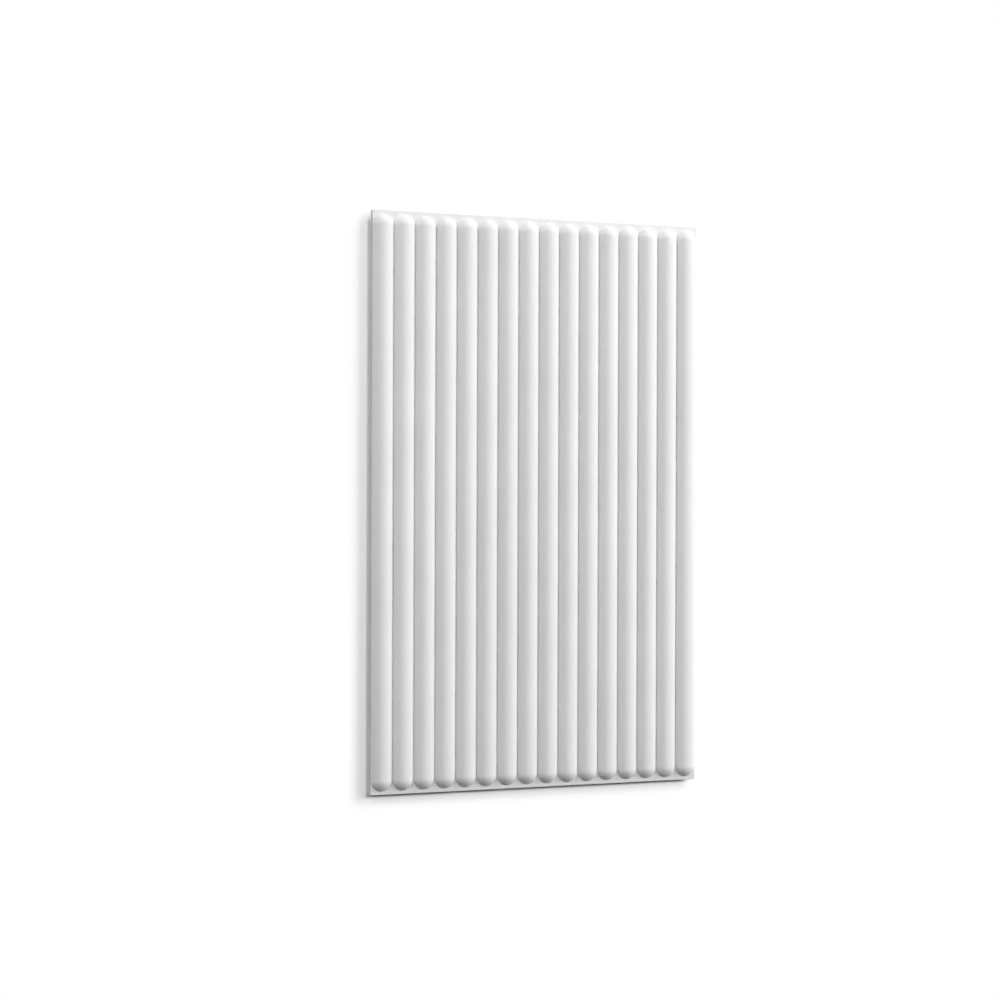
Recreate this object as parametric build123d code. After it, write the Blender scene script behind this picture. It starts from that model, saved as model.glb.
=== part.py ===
from build123d import *
import os

# Reeded relief wall panel, moulded in one piece and lying on its flat back.
# X runs across the reeds, Y along them and Z out of the face. The origin is the centre of the back.

# Driving dimensions, in millimetres
panel_length = 1135.0  # along the reeds
base_thickness = 10.0  # flat plate that carries the reeds
reed_count = 16
reed_pitch = 43.75  # from the centre of one reed to the next
reed_height = 13.0  # from the plate to the crown of a reed
groove_width = 0.75  # strip of bare plate at the bottom of each groove
end_margin = 7.0  # bare plate from the tip of a reed to the end of the panel

# Sizes that follow from them
panel_width = reed_count * reed_pitch
half_width = (reed_pitch - groove_width) / 2
crown_radius = (half_width**2 + reed_height**2) / (2 * reed_height)
tip_to_tip = panel_length - 2 * end_margin
straight_length = tip_to_tip - 2 * half_width


def half_section():
    """Half of a reed's cross-section, from its crown to one foot: a piece of a circle on the plate."""
    foot = Line((0, 0), (half_width, 0))
    flank = RadiusArc((half_width, 0), (0, reed_height), -crown_radius)
    middle = Line((0, reed_height), (0, 0))
    return Plane.XZ * make_face([foot, flank, middle])


def reed():
    """One reed along Y: a straight run of the section, with the section turned about Z at both ends."""
    half = half_section()
    section = half + mirror(half, Plane.YZ)
    run = extrude(section, straight_length / 2, both=True)
    dome = revolve(half, Axis.Z, revolution_arc=180)
    far_end = Pos(0, straight_length / 2, 0) * dome
    near_end = mirror(far_end, Plane.XZ)
    return run + far_end + near_end


def wall_panel():
    """The flat plate with its row of reeds, as one solid."""
    plate = Box(
        panel_width,
        panel_length,
        base_thickness,
        align=(Align.CENTER, Align.CENTER, Align.MIN),
    )
    row = GridLocations(reed_pitch, 0, reed_count, 1)
    seat = Pos(0, 0, base_thickness)
    return plate + [seat * place * reed() for place in row]


os.makedirs("parts", exist_ok=True)
export_step(wall_panel(), "parts/wall_panel.step")
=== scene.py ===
from math import asin, cos, pi, radians, sin

import bpy
from mathutils import Matrix, Vector


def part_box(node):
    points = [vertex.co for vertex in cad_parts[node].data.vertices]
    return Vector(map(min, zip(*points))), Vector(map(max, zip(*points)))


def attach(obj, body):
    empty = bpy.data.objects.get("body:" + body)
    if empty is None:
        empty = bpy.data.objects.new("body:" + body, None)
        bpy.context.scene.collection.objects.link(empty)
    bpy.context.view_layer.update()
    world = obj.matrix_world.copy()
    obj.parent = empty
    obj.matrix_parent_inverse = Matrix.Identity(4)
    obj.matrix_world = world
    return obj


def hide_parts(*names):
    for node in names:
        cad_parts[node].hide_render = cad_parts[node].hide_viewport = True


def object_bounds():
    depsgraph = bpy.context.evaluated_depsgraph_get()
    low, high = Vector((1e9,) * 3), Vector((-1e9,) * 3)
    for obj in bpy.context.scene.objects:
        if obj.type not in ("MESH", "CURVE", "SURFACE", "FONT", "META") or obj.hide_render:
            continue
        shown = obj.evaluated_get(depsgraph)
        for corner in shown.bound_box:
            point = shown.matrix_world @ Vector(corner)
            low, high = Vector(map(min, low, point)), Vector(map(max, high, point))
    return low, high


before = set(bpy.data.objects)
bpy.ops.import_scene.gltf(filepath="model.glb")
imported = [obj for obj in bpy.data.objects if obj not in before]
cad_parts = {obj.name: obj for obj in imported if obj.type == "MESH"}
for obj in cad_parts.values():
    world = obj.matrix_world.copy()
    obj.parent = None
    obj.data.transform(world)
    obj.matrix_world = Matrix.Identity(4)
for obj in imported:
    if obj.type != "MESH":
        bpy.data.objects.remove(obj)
cad_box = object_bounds()

# The panel's own sizes, in metres, as they are in the part's source
REED_COUNT = 16
REED_PITCH = 0.04375
REED_HEIGHT = 0.013
GROOVE_WIDTH = 0.00075
END_MARGIN = 0.007
REED_HALF_WIDTH = (REED_PITCH - GROOVE_WIDTH) / 2

# Fine relief, in metres
EDGE_EASE = 0.0006  # how far the sharp edge of the plate is taken off

# How the surface is divided and shaded
CROWN_STEPS = 20  # from the crown of a reed to its foot
GROOVE_STEPS = 5  # round of the groove, from the foot to its middle
DOME_STEPS = 36  # half turn of a dome
RUN_STEPS = 12  # along the straight run of a reed
PLACE_DIGITS = 7  # corners that agree to so many digits of a metre are one
SAME_PLACE = 10**-PLACE_DIGITS
SHARP_ANGLE = 40  # degrees between two faces, past which the edge between them is sharp
FOAM_AND_PAINTED_SHADE_RISE = 0.1  # upward part of a face's normal, under which the face takes the darker foam colour: bare foam, partly painted shade on the plate's sides

# Camera, in metres and degrees: above the panel and to its left, with the reeds upright in the picture
CAMERA_PLACE = Vector((-1.6507, 0.0083, 3.9256))
CAMERA_AIM = Vector((-0.0823, 0.0057, 0.010))
CAMERA_ROLL = 0.19
CAMERA_LENS = 76.57  # millimetres
CAMERA_SENSOR = 36  # millimetres

# Floor, in metres
FLOOR_SIZE = 12.0
FLOOR_DROP = 0.0003  # just under the panel, so that the two faces don't coincide
FLOOR_TONE = (0.80, 0.80, 0.80, 1)  # for the light that it throws back on the panel
FLOOR_SHOWN = (1.07, 1.07, 1.07, 1)  # to the camera, where the panel's shadow falls
WHITE = (1, 1, 1, 1)

# Patch of floor that shows the shadow in full: how far it reaches past the panel's sides, in metres.
# The shadow falls to the left and below, so on the two lit sides the patch ends under the panel.
SHADOW_PAST_LEFT = 0.018
SHADOW_PAST_BOTTOM = 0.0045
SHADOW_PAST_RIGHT = -0.030
SHADOW_PAST_TOP = -0.0275
SHADOW_FADE = 0.028  # from the end of the patch to pure white

# Round soft lamps, all aimed at the panel: degrees from straight up, degrees round from +X, watts
LAMP_DISTANCE = 8.0
LAMP_SIZE = 3.0
LAMPS = {
    "front_lamp": (37, 38, 320),
    "right_lamp": (60, 15, 222),
    "low_right_lamp": (70, 30, 226),
    "far_lamp": (70, 120, 175),
    "low_left_lamp": (84, 150, 108),
    "left_lamp": (50, 166, 114),
}


# The panel

def steps(first, last, count):
    """Evenly spaced values from first to last, both included."""
    return [first + (last - first) * i / count for i in range(count + 1)]


def reed_section():
    """Half of a reed's section, crown to middle of the groove, as pairs of distance out and height."""
    half_pitch = REED_PITCH / 2
    crown_radius = (REED_HALF_WIDTH**2 + REED_HEIGHT**2) / (2 * REED_HEIGHT)
    centre_depth = crown_radius - REED_HEIGHT
    groove_radius = (half_pitch**2 + centre_depth**2 - crown_radius**2) / (2 * REED_HEIGHT)
    foot_angle = asin(half_pitch / (crown_radius + groove_radius))
    crown = [
        (crown_radius * sin(angle), crown_radius * cos(angle) - centre_depth)
        for angle in steps(0, foot_angle, CROWN_STEPS)
    ]
    groove = [
        (half_pitch - groove_radius * sin(angle), groove_radius - groove_radius * cos(angle))
        for angle in steps(foot_angle, 0, GROOVE_STEPS)
    ]
    return crown + groove[1:]


class MeshMaker:
    """Gathers corners and faces, and joins corners that fall on the same place."""

    def __init__(self):
        self.corners = []
        self.faces = []
        self.known = {}

    def corner(self, place):
        key = tuple(round(value, PLACE_DIGITS) for value in place)
        if key not in self.known:
            self.known[key] = len(self.corners)
            self.corners.append(place)
        return self.known[key]

    def face(self, places, turned=False):
        """Adds a face; turned makes it look the other way."""
        ring = []
        for place in reversed(places) if turned else places:
            index = self.corner(place)
            if index not in ring:
                ring.append(index)
        if len(ring) > 2:
            self.faces.append(ring)


def reed_middles(low):
    """Places of the reeds' middle lines across the panel."""
    return [low.x + REED_PITCH * (i + 0.5) for i in range(REED_COUNT)]


def add_run(maker, section, middle, top, half_run):
    """Straight run of one reed, both flanks."""
    stations = steps(-half_run, half_run, RUN_STEPS)
    for side in (1, -1):
        for (out0, up0), (out1, up1) in zip(section, section[1:]):
            x0, x1 = middle + side * out0, middle + side * out1
            z0, z1 = top + up0, top + up1
            for y0, y1 in zip(stations, stations[1:]):
                maker.face([(x0, y0, z0), (x1, y0, z1), (x1, y1, z1), (x0, y1, z0)], turned=side < 0)


def add_dome(maker, section, middle, top, half_run, half_length, end):
    """Rounded end of one reed, and the bare strip of plate between it and the end of the panel."""
    brink, edge = end * (half_length - EDGE_EASE), end * half_length
    turns = steps(0, pi, DOME_STEPS)

    def point(out, up, turn):
        return middle + out * cos(turn), end * (half_run + out * sin(turn)), top + up

    for turn0, turn1 in zip(turns, turns[1:]):
        line0 = [point(out, up, turn0) for out, up in section]
        line1 = [point(out, up, turn1) for out, up in section]
        rings = list(zip(line0, line0[1:], line1[1:], line1))
        foot0, foot1 = line0[-1], line1[-1]
        x0, x1 = foot0[0], foot1[0]
        rings.append([foot0, (x0, brink, top), (x1, brink, top), foot1])
        rings.append([(x0, brink, top), (x0, edge, top), (x1, edge, top), (x1, brink, top)])
        for ring in rings:
            maker.face(ring, turned=end < 0)


def add_sides_and_back(maker, half_run, low, high, plate_top):
    """Four edge faces of the plate and its flat back."""
    across = []
    for middle in reed_middles(low):
        across += [middle - REED_PITCH / 2 * cos(turn) for turn in steps(0, pi, DOME_STEPS)]
    along = steps(-half_run, half_run, RUN_STEPS)
    along = [low.y, low.y + EDGE_EASE] + along + [high.y - EDGE_EASE, high.y]
    outline = [(x, low.y) for x in across]
    outline += [(high.x, y) for y in along]
    outline += [(x, high.y) for x in reversed(across)]
    outline += [(low.x, y) for y in reversed(along)]
    for (x0, y0), (x1, y1) in zip(outline, outline[1:]):
        maker.face([(x0, y0, low.z), (x1, y1, low.z), (x1, y1, plate_top), (x0, y0, plate_top)])
    maker.face([(x, y, low.z) for x, y in outline], turned=True)


def ease_rim(maker, low, high, plate_top):
    """Lowers the rim of the plate's face a little, so that its edge isn't knife-sharp."""
    for index, (x, y, z) in enumerate(maker.corners):
        to_rim = min(x - low.x, high.x - x, y - low.y, high.y - y)
        if to_rim < SAME_PLACE and z > low.z + SAME_PLACE:
            maker.corners[index] = (x, y, plate_top - EDGE_EASE)


def build_panel():
    """One closed, smooth surface that stands for the moulded panel."""
    low, high = [Vector(corner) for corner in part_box("wall_panel")]
    section = reed_section()
    plate_top = high.z - REED_HEIGHT
    half_run = high.y - END_MARGIN - REED_HALF_WIDTH
    maker = MeshMaker()
    for middle in reed_middles(low):
        add_run(maker, section, middle, plate_top, half_run)
        for end in (1, -1):
            add_dome(maker, section, middle, plate_top, half_run, high.y, end)
    add_sides_and_back(maker, half_run, low, high, plate_top)
    ease_rim(maker, low, high, plate_top)

    mesh = bpy.data.meshes.new("panel_relief")
    mesh.from_pydata(maker.corners, [], maker.faces)
    mesh.validate()
    mesh.shade_smooth()
    mesh.set_sharp_from_angle(angle=radians(SHARP_ANGLE))
    mesh.materials.append(primed_face())
    mesh.materials.append(bare_foam_and_painted_shade())
    # Faces that look up little take the darker foam colour, which is partly painted shade on the plate's
    # sides
    for face in mesh.polygons:
        face.material_index = 1 if face.normal.z < FOAM_AND_PAINTED_SHADE_RISE else 0
    panel = bpy.data.objects.new("panel_relief", mesh)
    bpy.context.collection.objects.link(panel)
    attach(panel, "root")
    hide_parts("wall_panel")


# Materials

NOISE_MIDDLE = (0.3, 0.7)  # range that most of a noise's values are in


def new_material(name):
    """Empty node material with its shader and output joined."""
    material = bpy.data.materials.new(name)
    material.use_nodes = True
    nodes = material.node_tree.nodes
    nodes.clear()
    output = nodes.new("ShaderNodeOutputMaterial")
    shader = nodes.new("ShaderNodeBsdfPrincipled")
    material.node_tree.links.new(shader.outputs["BSDF"], output.inputs["Surface"])
    return material, shader


def noise(material, scale, detail, roughness=0.5):
    """Noise over the object's own coordinates; scale is in waves for each metre."""
    nodes, links = material.node_tree.nodes, material.node_tree.links
    place = nodes.new("ShaderNodeTexCoord")
    texture = nodes.new("ShaderNodeTexNoise")
    texture.inputs["Scale"].default_value = scale
    texture.inputs["Detail"].default_value = detail
    texture.inputs["Roughness"].default_value = roughness
    links.new(place.outputs["Object"], texture.inputs["Vector"])
    return texture.outputs["Fac"]


def ramp(material, factor, first, last):
    """Colour from first to last as the noise goes over its middle range."""
    nodes, links = material.node_tree.nodes, material.node_tree.links
    node = nodes.new("ShaderNodeValToRGB")
    for element, position, colour in zip(node.color_ramp.elements, NOISE_MIDDLE, (first, last)):
        element.position = position
        element.color = (*colour, 1)
    links.new(factor, node.inputs["Fac"])
    return node.outputs["Color"]


def spread(material, factor, low, high):
    """Number from low to high as the noise goes over its middle range."""
    nodes, links = material.node_tree.nodes, material.node_tree.links
    node = nodes.new("ShaderNodeMapRange")
    node.inputs["From Min"].default_value = NOISE_MIDDLE[0]
    node.inputs["From Max"].default_value = NOISE_MIDDLE[1]
    node.inputs["To Min"].default_value = low
    node.inputs["To Max"].default_value = high
    links.new(factor, node.inputs["Value"])
    return node.outputs["Result"]


def bump(material, height, depth, strength):
    """Bump from a height texture; depth is in metres."""
    nodes, links = material.node_tree.nodes, material.node_tree.links
    node = nodes.new("ShaderNodeBump")
    node.inputs["Strength"].default_value = strength
    node.inputs["Distance"].default_value = depth
    links.new(height, node.inputs["Height"])
    return node.outputs["Normal"]


def primed_face():
    """Matt white primer: nearly even white, with a fine sprayed grain."""
    material, shader = new_material("primed_face")
    links = material.node_tree.links
    clouds = noise(material, scale=9, detail=4)
    tone = ramp(material, clouds, first=(0.775, 0.775, 0.77), last=(0.805, 0.805, 0.80))
    links.new(tone, shader.inputs["Base Color"])
    patches = noise(material, scale=60, detail=3)
    links.new(spread(material, patches, low=0.58, high=0.68), shader.inputs["Roughness"])
    shader.inputs["Specular IOR Level"].default_value = 0.35
    grain = noise(material, scale=900, detail=2)
    links.new(bump(material, grain, depth=0.00006, strength=0.5), shader.inputs["Normal"])
    return material


def bare_foam_and_painted_shade():
    """Bare foam of the back and the cut edges, full of small pores, and darker than the primer: partly as
    bare foam is, partly painted shade on the plate's sides.
    """
    material, shader = new_material("bare_foam_and_painted_shade")
    links = material.node_tree.links
    clouds = noise(material, scale=14, detail=5)
    # Darker than the primer: partly bare foam, partly painted shade for the plate's sides, which face
    # away from the lamps
    tone = ramp(material, clouds, first=(0.50, 0.498, 0.488), last=(0.57, 0.568, 0.557))
    links.new(tone, shader.inputs["Base Color"])
    shader.inputs["Roughness"].default_value = 0.85
    pores = noise(material, scale=450, detail=6, roughness=0.7)
    links.new(bump(material, pores, depth=0.0004, strength=0.6), shader.inputs["Normal"])
    return material


# The stage

def seen_rays(tree):
    """1 for rays straight from the camera or off a shiny or clear surface, and 0 for all others."""
    path = tree.nodes.new("ShaderNodeLightPath")
    seen = path.outputs["Is Camera Ray"]
    for name in ("Is Glossy Ray", "Is Transmission Ray"):
        either = tree.nodes.new("ShaderNodeMath")
        either.operation = "MAXIMUM"
        tree.links.new(seen, either.inputs[0])
        tree.links.new(path.outputs[name], either.inputs[1])
        seen = either.outputs["Value"]
    return seen


def mix_shaders(tree, factor, first, second):
    """First shader where the factor is 0, second where it is 1."""
    mix = tree.nodes.new("ShaderNodeMixShader")
    tree.links.new(factor, mix.inputs["Fac"])
    tree.links.new(first, mix.inputs[1])
    tree.links.new(second, mix.inputs[2])
    return mix.outputs["Shader"]


def matt(tree, colour):
    """Plain matt surface."""
    shader = tree.nodes.new("ShaderNodeBsdfDiffuse")
    shader.inputs["Color"].default_value = colour
    return shader.outputs["BSDF"]


def vector_step(tree, operation, vector, amount=(0, 0, 0)):
    """One step of vector arithmetic; amount is the second vector, where the operation takes one."""
    node = tree.nodes.new("ShaderNodeVectorMath")
    node.operation = operation
    node.inputs[1].default_value = amount
    tree.links.new(vector, node.inputs[0])
    return node.outputs["Value" if operation == "LENGTH" else "Vector"]


def away_from_shadow(tree):
    """0 on the patch of floor that shows the shadow and 1 further off, in the floor's own coordinates."""
    panel_low, panel_high = [Vector(corner) for corner in cad_box]
    low = Vector((panel_low.x - SHADOW_PAST_LEFT, panel_low.y - SHADOW_PAST_BOTTOM, -FLOOR_DROP))
    high = Vector((panel_high.x + SHADOW_PAST_RIGHT, panel_high.y + SHADOW_PAST_TOP, FLOOR_DROP))
    place = tree.nodes.new("ShaderNodeTexCoord")
    from_middle = vector_step(tree, "SUBTRACT", place.outputs["Object"], (low + high) / 2)
    to_either_side = vector_step(tree, "ABSOLUTE", from_middle)
    past_edges = vector_step(tree, "SUBTRACT", to_either_side, (high - low) / 2)
    outside = vector_step(tree, "MAXIMUM", past_edges)
    fade = tree.nodes.new("ShaderNodeMapRange")
    fade.interpolation_type = "SMOOTHSTEP"
    fade.inputs["From Max"].default_value = SHADOW_FADE
    tree.links.new(vector_step(tree, "LENGTH", outside), fade.inputs["Value"])
    return fade.outputs["Result"]


def build_floor():
    """Pale floor that takes the panel's soft shadow; further off the camera gets it as pure white."""
    half = FLOOR_SIZE / 2
    mesh = bpy.data.meshes.new("floor")
    outline = (-half, -half), (half, -half), (half, half), (-half, half)
    mesh.from_pydata([(x, y, -FLOOR_DROP) for x, y in outline], [], [(0, 1, 2, 3)])
    material = bpy.data.materials.new("white_floor")
    material.use_nodes = True
    tree = material.node_tree
    tree.nodes.clear()
    output = tree.nodes.new("ShaderNodeOutputMaterial")
    white = tree.nodes.new("ShaderNodeEmission")
    white.inputs["Color"].default_value = WHITE
    white.inputs["Strength"].default_value = 1.0
    shown = mix_shaders(tree, away_from_shadow(tree), matt(tree, FLOOR_SHOWN), white.outputs["Emission"])
    surface = mix_shaders(tree, seen_rays(tree), matt(tree, FLOOR_TONE), shown)
    tree.links.new(surface, output.inputs["Surface"])
    mesh.materials.append(material)
    floor = bpy.data.objects.new("floor", mesh)
    bpy.context.collection.objects.link(floor)


def background(tree, strength):
    """White surroundings of one strength."""
    shader = tree.nodes.new("ShaderNodeBackground")
    shader.inputs["Color"].default_value = WHITE
    shader.inputs["Strength"].default_value = strength
    return shader.outputs["Background"]


def build_surroundings():
    """Dark to the light in the room, so that the lamps alone light the panel, and white to the camera."""
    world = bpy.data.worlds.new("studio")
    world.use_nodes = True
    tree = world.node_tree
    tree.nodes.clear()
    output = tree.nodes.new("ShaderNodeOutputWorld")
    shown = mix_shaders(tree, seen_rays(tree), background(tree, 0.0), background(tree, 1.0))
    tree.links.new(shown, output.inputs["Surface"])
    bpy.context.scene.world = world


def build_lamps():
    """Large soft lamps round the panel, brightest on its right, that the camera itself doesn't see."""
    for name, (from_top, round_from_x, power) in LAMPS.items():
        tilt, turn = radians(from_top), radians(round_from_x)
        place = LAMP_DISTANCE * Vector((sin(tilt) * cos(turn), sin(tilt) * sin(turn), cos(tilt)))
        lamp = bpy.data.lights.new(name, "AREA")
        lamp.shape = "DISK"
        lamp.size = LAMP_SIZE
        lamp.energy = power
        holder = bpy.data.objects.new(name, lamp)
        holder.location = place
        holder.rotation_euler = (-place).to_track_quat("-Z", "Y").to_euler()
        holder.visible_camera = False
        bpy.context.collection.objects.link(holder)


def build_camera():
    """Camera that looks down on the panel, with +Y up in the picture."""
    back = (CAMERA_PLACE - CAMERA_AIM).normalized()
    right = Vector((0, 1, 0)).cross(back).normalized()
    up = back.cross(right)
    turn = Matrix((right, up, back)).transposed().to_4x4()
    roll = Matrix.Rotation(radians(CAMERA_ROLL), 4, "Z")
    data = bpy.data.cameras.new("camera")
    data.lens = CAMERA_LENS
    data.sensor_width = CAMERA_SENSOR
    camera = bpy.data.objects.new("camera", data)
    camera.matrix_world = Matrix.Translation(CAMERA_PLACE) @ turn @ roll
    bpy.context.collection.objects.link(camera)
    bpy.context.scene.camera = camera


build_panel()
build_floor()
build_surroundings()
build_lamps()
build_camera()
bpy.context.scene.view_settings.view_transform = "Standard"
